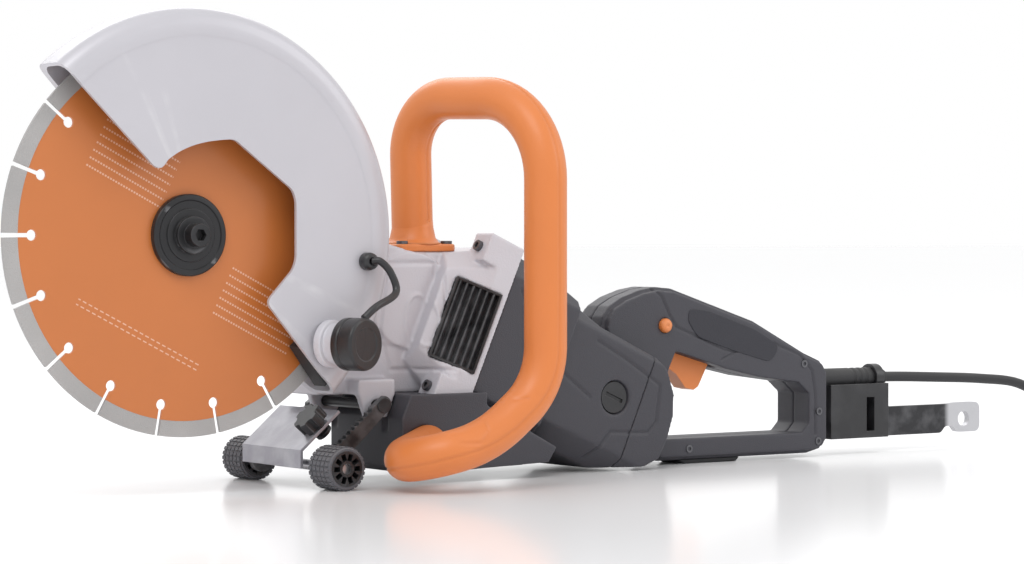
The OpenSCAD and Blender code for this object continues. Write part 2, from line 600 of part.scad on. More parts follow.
module tool_holder() color("black") difference() {
    union() {
        translate([666, cord_y - 14, 14]) cube([68, 28, 48]);
        translate([722, cord_y, 67]) rotate([0, 90, 0]) cylinder(r = 12, h = 9);
    }
    translate([600, cord_y, 67]) rotate([0, 90, 0]) cylinder(r = 9, h = 200);
    translate([684, cord_y - 4, 16]) cube([60, 8, 26]);
    translate([708, cord_y - 20, 20]) cube([9, 17, 30]);
}
module spanner() color("gray") translate([735, cord_y - 3, 15]) difference() {
    union() {
        translate([-44, 0, 2.5]) cube([104, 6, 22]);
        translate([59, 0, -1]) cube([62, 6, 26]);
    }
    translate([101, -4, 11]) rotate([-90, 0, 0]) cylinder(r = 7, h = 14);
    translate([34, -4, -2]) rotate([0, 35, 0]) cube([14, 14, 9]);
}

translate(shift) {
    blade_core();
    blade_segments();
    outer_flange();
    inner_flange();
    spindle_bolt();
    spindle();
    driven_pulley();
    shaft_bearings();
    arm_housing();
    arm_cover();
    drive_belt();
    layshaft();
    drive_pulley();
    bevel_gear();
    gearbox_housing();
    vent_grilles();
    motor_housing();
    motor_rear_cover();
    armature_shaft();
    armature_core();
    armature_windings();
    commutator();
    cooling_fan();
    bevel_pinion();
    stator_core();
    field_windings();
    brushes();
    brush_holders();
    brush_caps();
    guard_shell();
    guard_deflector();
    dust_port();
    dust_cap();
    cap_tether();
    front_handle();
    lower_bracket();
    rear_handle_left();
    rear_handle_right();
    grip_pad();
    rear_foot();
    trigger();
    lockoff_button();
    switch_body();
    body_screws();
    carriage_arms();
    carriage_plate();
    pivot_pin();
    wheel_axle();
    near_wheel();
    far_wheel();
    near_tread();
    far_tread();
    carriage_knob();
    cord_sleeve();
    power_cord();
    cord_coil();
    plug();
    tool_holder();
    spanner();
}
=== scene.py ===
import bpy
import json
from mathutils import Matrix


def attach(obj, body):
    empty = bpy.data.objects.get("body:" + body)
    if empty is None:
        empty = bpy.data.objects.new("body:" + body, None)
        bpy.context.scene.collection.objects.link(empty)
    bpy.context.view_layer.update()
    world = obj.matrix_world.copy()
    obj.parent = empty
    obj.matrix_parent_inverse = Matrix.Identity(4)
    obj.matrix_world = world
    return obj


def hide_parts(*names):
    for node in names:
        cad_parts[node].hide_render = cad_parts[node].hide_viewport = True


bl_info = {
    "name": "Concrete cut-off saw",
    "version": (1, 0, 0),
    "blender": (4, 5, 0),
    "location": "3D View > Sidebar > Saw",
    "description": "Builds the visible shells, controls, rollers and cord of a corded disc cutter",
    "category": "Object",
}

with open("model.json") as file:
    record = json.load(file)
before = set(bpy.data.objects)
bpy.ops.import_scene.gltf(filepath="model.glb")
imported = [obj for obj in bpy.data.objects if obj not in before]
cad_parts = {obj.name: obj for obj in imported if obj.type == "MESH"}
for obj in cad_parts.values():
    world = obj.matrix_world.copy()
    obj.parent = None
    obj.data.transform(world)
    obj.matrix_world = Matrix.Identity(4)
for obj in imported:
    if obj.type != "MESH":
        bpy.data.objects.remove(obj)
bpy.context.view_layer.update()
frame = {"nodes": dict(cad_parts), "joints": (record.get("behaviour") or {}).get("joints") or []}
import json
import math
import bmesh
import bpy
import numpy as np
from mathutils import Matrix, Vector

JOINTS = {joint["name"]: joint for joint in frame["joints"]}
ROOT = "machine"
MM = 0.001

# Shapes are drawn in millimetres from the point on the floor under the middle of the blade.
SPINDLE = Vector(JOINTS["blade_spin"]["pos_m"])
TO_FRAME = Matrix.Translation((SPINDLE.x, SPINDLE.y, 0)) @ Matrix.Scale(MM, 4)
SPINDLE_Z = SPINDLE.z / MM
BODY_Y = (JOINTS["armature_spin"]["pos_m"][1] - SPINDLE.y) / MM
LAY = Vector(JOINTS["armature_spin"]["pos_m"]) / MM - Vector((SPINDLE.x, 0, 0)) / MM
AXLE = (Vector(JOINTS["near_roller_spin"]["pos_m"]) - Vector((SPINDLE.x, SPINDLE.y, 0))) / MM
MOTOR_TILT = math.atan2(-JOINTS["armature_spin"]["axis"][2], JOINTS["armature_spin"]["axis"][0])
MOTOR_FRAME = (Matrix.Translation((LAY.x, BODY_Y, LAY.z))
               @ Matrix.Rotation(math.pi / 2 + MOTOR_TILT, 4, "Y"))
PORT_AXIS = Vector(JOINTS["dust_cap_pull"]["axis"])
BLADE_CENTRE = (0, 0, SPINDLE_Z)
NEARWARD, FARWARD = (0, -1, 0), (0, 1, 0)
GRIP_HALF = 20

MADE = {}  # node groups and finishes by name, filled once by the stage operator


# ---------- meshes ----------

def add(name, data):
    """A new object in the scene for a mesh, a light or a camera."""
    obj = bpy.data.objects.new(name, data)
    bpy.context.scene.collection.objects.link(obj)
    return obj


def keep(name, form):
    """A new object from an edited bmesh."""
    mesh = bpy.data.meshes.new(name)
    form.to_mesh(mesh)
    form.free()
    return add(name, mesh)


def smooth(mesh, on=True):
    for face in mesh.polygons:
        face.use_smooth = on


def piece(name, verts, faces, place=Matrix.Identity(4)):
    """A new object from millimetre points, moved by place and then into the frame."""
    mesh = bpy.data.meshes.new(name)
    mesh.from_pydata([tuple(v) for v in verts], [], [tuple(f) for f in faces])
    form = bmesh.new()
    form.from_mesh(mesh)
    bmesh.ops.remove_doubles(form, verts=form.verts, dist=1e-4)
    bmesh.ops.recalc_face_normals(form, faces=form.faces)
    form.to_mesh(mesh)
    form.free()
    mesh.transform(TO_FRAME @ place)
    return add(name, mesh)


def copy_node(name, node):
    """A copy of a CAD node, with the triangles of each flat face joined."""
    form = bmesh.new()
    form.from_mesh(frame["nodes"][node].data)
    bmesh.ops.remove_doubles(form, verts=form.verts, dist=2e-6)
    bmesh.ops.dissolve_limit(form, angle_limit=math.radians(0.6), verts=form.verts, edges=form.edges)
    return keep(name, form)


def modify(obj, kind, **settings):
    modifier = obj.modifiers.new(kind.lower(), kind)
    for key, value in settings.items():
        setattr(modifier, key, value)
    return modifier


def bake(obj):
    """Replaces the mesh by what its modifiers make of it."""
    bpy.context.view_layer.update()
    graph = bpy.context.evaluated_depsgraph_get()
    mesh = bpy.data.meshes.new_from_object(obj.evaluated_get(graph))
    obj.modifiers.clear()
    obj.data = mesh
    return obj


def bevel(obj, width, segments=3, angle=32):
    modify(obj, "BEVEL", width=width * MM, segments=segments, limit_method="ANGLE",
           angle_limit=math.radians(angle))
    smooth(obj.data)
    modify(obj, "WEIGHTED_NORMAL", keep_sharp=True)
    return bake(obj)


def cast(obj, voxel, passes):
    """Rounds a closed solid all over, the way a casting or a moulding is."""
    modify(obj, "REMESH", mode="VOXEL", voxel_size=voxel * MM, use_smooth_shade=True)
    modify(obj, "SMOOTH", factor=0.5, iterations=passes)
    return bake(obj)


def cut(obj, cutter):
    modify(obj, "BOOLEAN", operation="DIFFERENCE", object=cutter, solver="EXACT")
    bake(obj)
    bpy.data.objects.remove(cutter)


def join(name, *objects):
    form = bmesh.new()
    for obj in objects:
        form.from_mesh(obj.data)
        bpy.data.objects.remove(obj)
    obj = keep(name, form)
    smooth(obj.data)
    return obj


def prism(name, outline, y0, y1):
    """A plate standing on edge: its outline in X and Z, from y0 to y1."""
    count = len(outline)
    verts = [(x, y, z) for y in (y0, y1) for x, z in outline]
    sides = [(i, (i + 1) % count, count + (i + 1) % count, count + i) for i in range(count)]
    return piece(name, verts, [range(count), range(count, 2 * count)] + sides)


def arc(cx, cy, radius, start, end, steps):
    angles = [math.radians(start + (end - start) * i / steps) for i in range(steps + 1)]
    return [(cx + radius * math.cos(a), cy + radius * math.sin(a)) for a in angles]


def turned(name, profile, centre, axis, steps=64, sweep=360, start=0, twist=None):
    """Turns a closed profile of (radius, height) points about an axis through centre."""
    full = sweep == 360
    rows = steps if full else steps + 1
    verts, faces, width = [], [], len(profile)
    for i in range(rows):
        a = math.radians(start + sweep * i / steps)
        verts += [(r * math.cos(a), r * math.sin(a), h) for r, h in profile]
    for i in range(steps):
        j = (i + 1) % rows
        for k in range(width):
            m = (k + 1) % width
            faces.append((i * width + k, i * width + m, j * width + m, j * width + k))
    if not full:
        faces += [range(width), range((rows - 1) * width, rows * width)]
    place = Vector((0, 0, 1)).rotation_difference(Vector(axis)).to_matrix().to_4x4()
    return piece(name, verts, faces, Matrix.Translation(centre) @ (twist or place))


def fillet(points, radii, steps=14):
    """A route of straight runs whose corners are rounded to the given radii."""
    points = [Vector(p) for p in points]
    route = [points[0]]
    for before, corner, after, radius in zip(points, points[1:], points[2:], radii):
        a, b = (corner - before).normalized(), (after - corner).normalized()
        turn = a.angle(b)
        side = (b - a * a.dot(b)).normalized()
        start = corner - a * radius * math.tan(turn / 2)
        for i in range(steps + 1):
            q = turn * i / steps
            route.append(start + a * radius * math.sin(q) + side * radius * (1 - math.cos(q)))
    return route + [points[-1]]


def spline(points, steps):
    """A smooth route through given points."""
    points = [Vector(p) for p in points]
    padded = [points[0] * 2 - points[1]] + points + [points[-1] * 2 - points[-2]]
    route = []
    for a, b, c, d in zip(padded, padded[1:], padded[2:], padded[3:]):
        for i in range(steps):
            t = i / steps
            route.append(0.5 * ((2 * b) + (c - a) * t + (2 * a - 5 * b + 4 * c - d) * t * t
                                + (3 * b - a - 3 * c + d) * t ** 3))
    return route + [points[-1]]


def tube(name, route, radius, sides=32, grooves=(), depth=0.0):
    """A closed tube along a route, with a shallow groove at each side numbered in grooves."""
    verts, faces = [], []
    last = len(route) - 1
    up = Vector((0.3, 0.8, 0.5))
    for i, point in enumerate(route):
        along = (route[min(i + 1, last)] - route[max(i - 1, 0)]).normalized()
        up = (up - along * up.dot(along)).normalized()
        side = along.cross(up)
        for k in range(sides):
            a = 2 * math.pi * k / sides
            dip = depth if k in grooves else 0
            verts.append(point + (up * math.cos(a) + side * math.sin(a)) * (radius - dip))
    for i in range(last):
        for k in range(sides):
            m = (k + 1) % sides
            faces.append((i * sides + k, i * sides + m, (i + 1) * sides + m, (i + 1) * sides + k))
    faces += [range(sides), range(last * sides, (last + 1) * sides)]
    return piece(name, verts, faces)


def ease(t):
    """Runs from 0 to 1 with a soft start and a soft end."""
    return t * t * (3 - 2 * t)


def engrave(obj, line, width, depth, sides=(-1, 1)):
    """Presses a groove along a line in X and Z into the faces that look along Y; a negative
    depth raises a bead."""
    mesh = obj.data
    count = len(mesh.vertices)

    def read(what):
        values = np.empty(count * 3)
        mesh.vertices.foreach_get(what, values)
        return values.reshape(-1, 3)

    places, normals = read("co"), read("normal")
    flat = np.column_stack(((places[:, 0] - SPINDLE.x) / MM, places[:, 2] / MM))
    near = np.full(count, np.inf)
    for a, b in zip(np.array(line[:-1], float), np.array(line[1:], float)):
        run = b - a
        t = np.clip(((flat - a) @ run) / (run @ run), 0, 1)
        near = np.minimum(near, np.linalg.norm(flat - a - t[:, None] * run, axis=1))
    press = ease(np.clip(1 - near / width, 0, 1))
    facing = np.zeros(count)
    for side in sides:
        facing = np.maximum(facing, np.clip((normals[:, 1] * side - 0.25) * 3, 0, 1))
    places -= normals * (press * facing * depth * MM)[:, None]
    mesh.vertices.foreach_set("co", places.ravel())
    mesh.update()


def set_look(mesh, look):
    mesh.materials.clear()
    mesh.materials.append(MADE[look])


def finish(obj, body, slot, look, *nodes):
    """Gives a piece its finish and its body, and hides the CAD nodes that it stands for; its slot is not
    used.
    """
    set_look(obj.data, look)
    obj.data.update()
    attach(obj, body)
    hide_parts(*nodes)


def dress(look, *nodes):
    """Gives CAD nodes, which stay as they are, a material."""
    for node in nodes:
        set_look(frame["nodes"][node].data, look)


def bevelled(name, node, width, segments, body, slot, look, angle=32):
    """A CAD node's own shape with its edges rounded off."""
    obj = bevel(copy_node(name, node), width, segments, angle)
    finish(obj, body, slot, look, node)
    return obj


def moulded(name, node, voxel, passes, slot, look, *grooves):
    """A CAD node's own shape on the machine, cast or moulded, with grooves pressed into it."""
    obj = cast(copy_node(name, node), voxel, passes)
    for groove in grooves:
        engrave(obj, *groove)
    finish(obj, ROOT, slot, look, node)


# ---------- repeated shapes by geometry nodes ----------

def wire(tree, node, values):
    """Feeds a node's inputs, by name or number, from nodes, sockets or plain values."""
    for key, value in values.items():
        if isinstance(value, bpy.types.Node):
            value = value.outputs[0]
        if isinstance(value, bpy.types.NodeSocket):
            tree.links.new(value, node.inputs[key])
        else:
            node.inputs[key].default_value = value


def step(tree, kind, values=None, **settings):
    """Adds a node with its settings and its inputs."""
    node = tree.nodes.new(kind)
    for key, value in settings.items():
        setattr(node, key, value)
    wire(tree, node, values or {})
    return node


def maths(tree, operation, *values):
    return step(tree, "ShaderNodeMath", dict(enumerate(values)), operation=operation)


def new_tree(name, *sockets):
    """A geometry tree and the outputs of its group input."""
    tree = bpy.data.node_groups.new(name, "GeometryNodeTree")
    for title, kind in (("Geometry", "Geometry"), *sockets, ("Material", "Material")):
        tree.interface.new_socket(title, in_out="INPUT", socket_type="NodeSocket" + kind)
    tree.interface.new_socket("Geometry", in_out="OUTPUT", socket_type="NodeSocketGeometry")
    return tree, step(tree, "NodeGroupInput").outputs


def close_tree(tree, given, geometry):
    real = step(tree, "GeometryNodeRealizeInstances", {0: geometry})
    named = step(tree, "GeometryNodeSetMaterial", {0: real, "Material": given["Material"]})
    step(tree, "NodeGroupOutput", {0: named})
    return tree


def ring_tree():
    """Blocks stood round a circle, in rows beside each other."""
    tree, given = new_tree("Ring of blocks", ("Count", "Int"), ("Radius", "Float"),
                           ("Block", "Vector"), ("Rows", "Int"), ("Pitch", "Float"))
    circle = step(tree, "GeometryNodeMeshCircle",
                  {"Vertices": given["Count"], "Radius": given["Radius"]})
    place = step(tree, "GeometryNodeInputPosition")
    turn = step(tree, "FunctionNodeAlignEulerToVector", {"Vector": place}, axis="X")
    block = step(tree, "GeometryNodeMeshCube", {"Size": given["Block"]})
    ring = step(tree, "GeometryNodeInstanceOnPoints",
                {"Points": circle, "Instance": block, "Rotation": turn})
    lift = step(tree, "ShaderNodeCombineXYZ", {"Z": given["Pitch"]})
    row = step(tree, "GeometryNodeMeshLine", {"Count": given["Rows"], "Offset": lift})
    rows = step(tree, "GeometryNodeInstanceOnPoints", {"Points": row, "Instance": ring})
    return close_tree(tree, given, rows)


def slat_tree():
    """A row of slats, each tilted about its own length."""
    tree, given = new_tree("Row of slats", ("Count", "Int"), ("Pitch", "Float"),
                           ("Slat", "Vector"), ("Tilt", "Float"))
    lift = step(tree, "ShaderNodeCombineXYZ", {"Z": given["Pitch"]})
    row = step(tree, "GeometryNodeMeshLine", {"Count": given["Count"], "Offset": lift})
    slat = step(tree, "GeometryNodeMeshCube", {"Size": given["Slat"]})
    tilt = step(tree, "ShaderNodeCombineXYZ", {"X": given["Tilt"]})
    slats = step(tree, "GeometryNodeInstanceOnPoints",
                 {"Points": row, "Instance": slat, "Rotation": tilt})
    return close_tree(tree, given, slats)


def screw_tree():
    """A round screw head with a six-sided socket on every point, looking along Axis."""
    tree, given = new_tree("Screw heads", ("Radius", "Float"), ("Height", "Float"),
                           ("Axis", "Vector"))
    head = step(tree, "GeometryNodeMeshCylinder",
                {"Vertices": 28, "Radius": given["Radius"], "Depth": given["Height"]})
    half = maths(tree, "MULTIPLY", given["Radius"], 0.52)
    hexagon = step(tree, "GeometryNodeMeshCylinder",
                   {"Vertices": 6, "Radius": half, "Depth": given["Height"]})
    rise = step(tree, "ShaderNodeCombineXYZ", {"Z": maths(tree, "MULTIPLY", given["Height"], 0.4)})
    moved = step(tree, "GeometryNodeTransform", {"Geometry": hexagon, "Translation": rise})
    socket = step(tree, "GeometryNodeMeshBoolean", {0: head, 1: moved}, operation="DIFFERENCE")
    turn = step(tree, "FunctionNodeAlignEulerToVector", {"Vector": given["Axis"]}, axis="Z")
    heads = step(tree, "GeometryNodeInstanceOnPoints",
                 {"Points": given["Geometry"], "Instance": socket, "Rotation": turn})
    return close_tree(tree, given, heads)


def grown(name, tree, look, values, points=((0, 0, 0),), place=Matrix.Identity(4)):
    """Runs a tree on a few points and keeps the plain mesh."""
    mesh = bpy.data.meshes.new(name)
    mesh.from_pydata([tuple(p) for p in points], [], [])
    obj = add(name, mesh)
    modifier = modify(obj, "NODES", node_group=MADE[tree])
    values = {**values, "Material": MADE[look]}
    for item in MADE[tree].interface.items_tree:
        if item.in_out == "INPUT" and item.name in values:
            modifier[item.identifier] = values[item.name]
    bake(obj)
    obj.data.transform(TO_FRAME @ place)
    return obj


# ---------- shader groups ----------

def shader_group(name, inputs, *outputs):
    """A shader group and the outputs of its group input."""
    tree = bpy.data.node_groups.new(name, "ShaderNodeTree")
    for title, kind, value in inputs:
        socket = tree.interface.new_socket(title, in_out="INPUT", socket_type="NodeSocket" + kind)
        socket.default_value = value
    for title in outputs:
        tree.interface.new_socket(title, in_out="OUTPUT", socket_type="NodeSocketFloat")
    return tree, step(tree, "NodeGroupInput").outputs


def where(tree):
    return step(tree, "ShaderNodeTexCoord").outputs["Object"]


def noise(tree, scale, detail):
    return step(tree, "ShaderNodeTexNoise",
                {"Vector": where(tree), "Scale": scale, "Detail": detail})


def ramp(tree, value, low, high):
    """Runs from 0 to 1 as value goes from low to high."""
    return step(tree, "ShaderNodeMapRange", {"Value": value, "From Min": low, "From Max": high})


def grain_group():
    """Moulded or cast grain: fine cells over slow waves."""
    tree, given = shader_group("Surface grain", [("Scale", "Float", 900.0)], "Height", "Shade")
    cells = step(tree, "ShaderNodeTexVoronoi", {"Vector": where(tree), "Scale": given["Scale"]})
    both = maths(tree, "ADD", noise(tree, given["Scale"], 3.0), cells.outputs["Distance"])
    step(tree, "NodeGroupOutput", {"Height": both, "Shade": noise(tree, 14.0, 5.0)})
    return tree


def wear_group():
    """Paint and skin rubbed thin on outer edges."""
    tree, given = shader_group("Edge wear", [("From", "Float", 0.52), ("To", "Float", 0.62)], "Mask")
    shape = step(tree, "ShaderNodeNewGeometry")
    edge = ramp(tree, shape.outputs["Pointiness"], given["From"], given["To"])
    part = ramp(tree, noise(tree, 60.0, 6.0), 0.38, 0.7)
    step(tree, "NodeGroupOutput", {"Mask": maths(tree, "MULTIPLY", edge, part)})
    return tree


def dust_group():
    """Pale dust settled on faces that look up."""
    tree, given = shader_group("Settled dust", [("Amount", "Float", 0.2)], "Mask")
    shape = step(tree, "ShaderNodeNewGeometry")
    split = step(tree, "ShaderNodeSeparateXYZ", {0: shape.outputs["Normal"]})
    up = ramp(tree, split.outputs["Z"], 0.2, 1.0)
    thin = maths(tree, "MULTIPLY", noise(tree, 35.0, 8.0), up)
    step(tree, "NodeGroupOutput", {"Mask": maths(tree, "MULTIPLY", thin, given["Amount"])})
    return tree


def dots_group():
    """Rows of printed dots inside a slanted window on the blade's face."""
    tree, given = shader_group("Printed dots", [
        ("Middle", "Vector", (0, 0, 0)), ("Turn", "Vector", (0, 0, 0)),
        ("Half size", "Vector", (0.02, 0.02, 0)), ("Row pitch", "Float", 0.006),
        ("Dot pitch", "Float", 0.003)], "Mask")
    moved = step(tree, "ShaderNodeVectorMath", {0: where(tree), 1: given["Middle"]},
                 operation="SUBTRACT")
    level = step(tree, "ShaderNodeVectorRotate", {"Vector": moved, "Rotation": given["Turn"]},
                 rotation_type="EULER_XYZ")
    place = step(tree, "ShaderNodeSeparateXYZ", {0: level}).outputs
    half = step(tree, "ShaderNodeSeparateXYZ", {0: given["Half size"]}).outputs

    def inside(value, limit):
        return maths(tree, "LESS_THAN", maths(tree, "ABSOLUTE", value), limit)

    def stripes(value, pitch, share):
        part = maths(tree, "FRACT", maths(tree, "DIVIDE", value, pitch))
        return maths(tree, "LESS_THAN", part, share)

    mask = inside(place["X"], half["X"])
    for other in (inside(place["Z"], half["Y"]), stripes(place["Z"], given["Row pitch"], 0.22),
                  stripes(place["X"], given["Dot pitch"], 0.62)):
        mask = maths(tree, "MULTIPLY", mask, other)
    step(tree, "NodeGroupOutput", {"Mask": mask})
    return tree


# ---------- materials ----------

DUST_COLOUR = (0.6, 0.58, 0.55, 1)
PRINT_COLOUR = (0.9, 0.72, 0.6, 1)
RING_STEEL = (0.5, 0.5, 0.52, 1)


def use(tree, group, values=None):
    return step(tree, "ShaderNodeGroup", values, node_tree=MADE[group])


def mix(tree, factor, a, b):
    """The colour between a and b; 6 and 7 are the node's colour inputs."""
    return step(tree, "ShaderNodeMix", {"Factor": factor, 6: a, 7: b}, data_type="RGBA").outputs[2]


def look(name, colour, rough, metal=0.0, grain=900.0, relief=0.05, vary=0.12, worn=None, wear=0.5,
         dust=0.12, coat=0.0, extra=None):
    """One finish: colour that drifts a little, grain, worn edges and a trace of dust."""
    material = bpy.data.materials.new(name)
    material.use_nodes = True
    tree = material.node_tree
    skin = use(tree, "grain", {"Scale": grain})
    dark = tuple(c * (1 - vary) for c in colour) + (1,)
    light = tuple(min(1, c * (1 + vary)) for c in colour) + (1,)
    base = mix(tree, skin.outputs["Shade"], dark, light)
    if extra:
        base = extra(tree, base)
    if worn:
        base = mix(tree, maths(tree, "MULTIPLY", use(tree, "wear"), wear), base, (*worn, 1))
    base = mix(tree, use(tree, "dust", {"Amount": dust}), base, DUST_COLOUR)
    shine = step(tree, "ShaderNodeMapRange", {
        "Value": skin.outputs["Shade"], "To Min": rough * 0.88, "To Max": min(1, rough * 1.16)})
    bump = step(tree, "ShaderNodeBump", {
        "Height": skin.outputs["Height"], "Strength": relief, "Distance": 0.0004})
    wire(tree, tree.nodes["Principled BSDF"], {
        "Base Color": base, "Roughness": shine, "Metallic": metal, "Coat Weight": coat,
        "Coat Roughness": 0.2, "Normal": bump})
    return material


def blade_print(tree, base):
    """Faint pale rows of dots and dashes printed on the disc."""
    for middle, angle, half, pitch, dot in (
            ((-0.045, 0, 0.052), 27, (0.034, 0.021, 0), 0.0062, 0.0024),
            ((0.062, 0, -0.058), 27, (0.036, 0.021, 0), 0.0062, 0.0024),
            ((-0.040, 0, -0.072), 27, (0.056, 0.0042, 0), 0.0042, 0.0052)):
        dots = use(tree, "dots", {
            "Middle": tuple(SPINDLE + Vector(middle)), "Turn": (0, math.radians(-angle), 0),
            "Half size": half, "Row pitch": pitch, "Dot pitch": dot})
        base = mix(tree, maths(tree, "MULTIPLY", dots, 0.42), base, PRINT_COLOUR)
    return base


def ring_end(tree, base):
    """Bare steel at the ring end of the spanner."""
    split = step(tree, "ShaderNodeSeparateXYZ", {0: where(tree)})
    edge = SPINDLE.x + 0.812
    return mix(tree, ramp(tree, split.outputs["X"], edge, edge + 0.006), base, RING_STEEL)


def make_looks(paint):
    MADE.update(grain=grain_group(), wear=wear_group(), dust=dust_group(), dots=dots_group(),
                ring=ring_tree(), slats=slat_tree(), screws=screw_tree())
    bare = (0.42, 0.42, 0.44)
    pale = (0.30, 0.30, 0.32)
    rows = {
        "blade_paint": dict(colour=tuple(paint.blade_colour), rough=0.42, grain=1500, relief=0.04,
                            vary=0.06, dust=0.0, coat=0.25, extra=blade_print),
        "segment": dict(colour=(0.40, 0.39, 0.385), rough=0.62, metal=0.35, grain=1700, relief=0.6,
                        vary=0.22),
        "dark_steel": dict(colour=(0.022, 0.022, 0.024), rough=0.36, metal=0.4, grain=1200, relief=0.06,
                           worn=bare, wear=0.35),
        "steel": dict(colour=(0.46, 0.46, 0.48), rough=0.3, metal=1.0, grain=1500, relief=0.04),
        "alloy": dict(colour=(0.55, 0.55, 0.57), rough=0.36, metal=0.9, grain=800, relief=0.1),
        "cast": dict(colour=tuple(paint.casting_colour), rough=0.5, metal=0.12, grain=650, relief=0.22,
                     vary=0.07, worn=(0.75, 0.74, 0.75), wear=0.4, dust=0.05),
        "guard": dict(colour=tuple(paint.guard_colour), rough=0.4, metal=0.18, grain=1300, relief=0.06,
                      vary=0.05, worn=(0.7, 0.7, 0.71), wear=0.35, dust=0.03, coat=0.15),
        "belt": dict(colour=(0.02, 0.02, 0.02), rough=0.75),
        "dark_plastic": dict(colour=tuple(paint.housing_colour), rough=0.52, grain=1100, relief=0.34,
                             vary=0.1, worn=pale, wear=0.28, dust=0.05),
        "black_plastic": dict(colour=(0.014, 0.014, 0.016), rough=0.3, grain=1200, relief=0.16, worn=pale,
                              wear=0.25, dust=0.06),
        "rubber": dict(colour=(0.02, 0.02, 0.022), rough=0.62, relief=0.25, dust=0.1),
        "pad": dict(colour=(0.032, 0.032, 0.040), rough=0.75, grain=800, relief=0.4, dust=0.05),
        "screw": dict(colour=(0.13, 0.13, 0.14), rough=0.38, metal=0.9, grain=1500, relief=0.04),
        "plate": dict(colour=(0.30, 0.295, 0.33), rough=0.38, metal=0.45, relief=0.12, vary=0.15,
                      worn=(0.6, 0.6, 0.62), wear=0.7, dust=0.1),
        "arm": dict(colour=(0.02, 0.02, 0.022), rough=0.42, metal=0.3, relief=0.12,
                    worn=(0.5, 0.5, 0.52), wear=1.0),
        "tread": dict(colour=(0.10, 0.10, 0.112), rough=0.7, grain=700, relief=0.5, vary=0.2, dust=0.25),
        "orange": dict(colour=tuple(paint.handle_colour), rough=0.42, grain=1200, relief=0.12, vary=0.05,
                       worn=(0.85, 0.5, 0.3), wear=0.25, dust=0.02, coat=0.08),
        "spanner": dict(colour=(0.03, 0.03, 0.033), rough=0.4, metal=0.5, relief=0.12, worn=bare,
                        wear=0.2, extra=ring_end),
        "lamination": dict(colour=(0.16, 0.16, 0.17), rough=0.5, metal=0.7, grain=500, relief=0.4),
        "copper": dict(colour=(0.62, 0.28, 0.14), rough=0.35, metal=0.9, grain=500, relief=0.7),
        "carbon": dict(colour=(0.03, 0.03, 0.03), rough=0.7, relief=0.3),
        "brass": dict(colour=(0.68, 0.50, 0.22), rough=0.3, metal=1.0),
    }
    for name, values in rows.items():
        MADE[name] = look(name, **values)


# ---------- sizes that a user may change ----------

def paint_setting(name, description, default):
    return bpy.props.FloatVectorProperty(name=name, description=description, subtype="COLOR",
                                         default=default)


def length_setting(name, description, default):
    return bpy.props.FloatProperty(name=name, description=description, unit="LENGTH", default=default)


class PaintSettings(bpy.types.PropertyGroup):
    blade_colour: paint_setting("Blade", "Lacquer on the steel disc", (0.52, 0.155, 0.034))
    handle_colour: paint_setting("Handle", "Orange of the front handle and the controls",
                                 (0.66, 0.195, 0.045))
    guard_colour: paint_setting("Guard", "Paint on the blade guard", (0.50, 0.49, 0.525))
    casting_colour: paint_setting("Castings", "Paint on the gearbox and the belt arm",
                                  (0.56, 0.55, 0.59))
    housing_colour: paint_setting("Housing", "Plastic of the motor housing and the rear handle",
                                  (0.043, 0.042, 0.052))


class ShapeSettings(bpy.types.PropertyGroup):
    tube_diameter: length_setting("Handle tube", "Outside diameter of the front handle", 0.033)
    guard_corner: length_setting("Guard corner", "Radius between the guard's rim and its faces", 0.012)
    cord_diameter: length_setting("Cord", "Outside diameter of the power cord", 0.009)
    coil_radius: length_setting("Coil", "Radius of the stored coil at the middle of its turns", 0.052)
    coil_turns: bpy.props.IntProperty(
        name="Turns", description="Turns of cord in the stored coil", default=8, min=4, max=9)
    tread_blocks: bpy.props.IntProperty(
        name="Tread blocks", description="Blocks round each roller", default=26, min=12, max=40)


class StageSettings(bpy.types.PropertyGroup):
    camera_place: bpy.props.FloatVectorProperty(
        name="Camera", description="Where the camera stands", unit="LENGTH",
        default=(-1.33755, -1.96675, 0.19373))
    camera_heading: bpy.props.FloatProperty(
        name="Heading", description="Turn of the camera from the Y axis", unit="ROTATION",
        default=math.radians(35.1445))
    camera_dip: bpy.props.FloatProperty(
        name="Dip", description="Slope of the camera below the horizon", unit="ROTATION",
        default=math.radians(0.8878))
    camera_lens: bpy.props.FloatProperty(
        name="Lens", description="Focal length in millimetres", default=105.46)


# ---------- stage ----------

def area_light(name, place, target, size, power):
    light = bpy.data.lights.new(name, "AREA")
    light.shape = "RECTANGLE"
    light.size, light.size_y = size
    light.energy = power
    obj = add(name, light)
    obj.location = place
    obj.rotation_euler = (Vector(target) - Vector(place)).to_track_quat("-Z", "Y").to_euler()


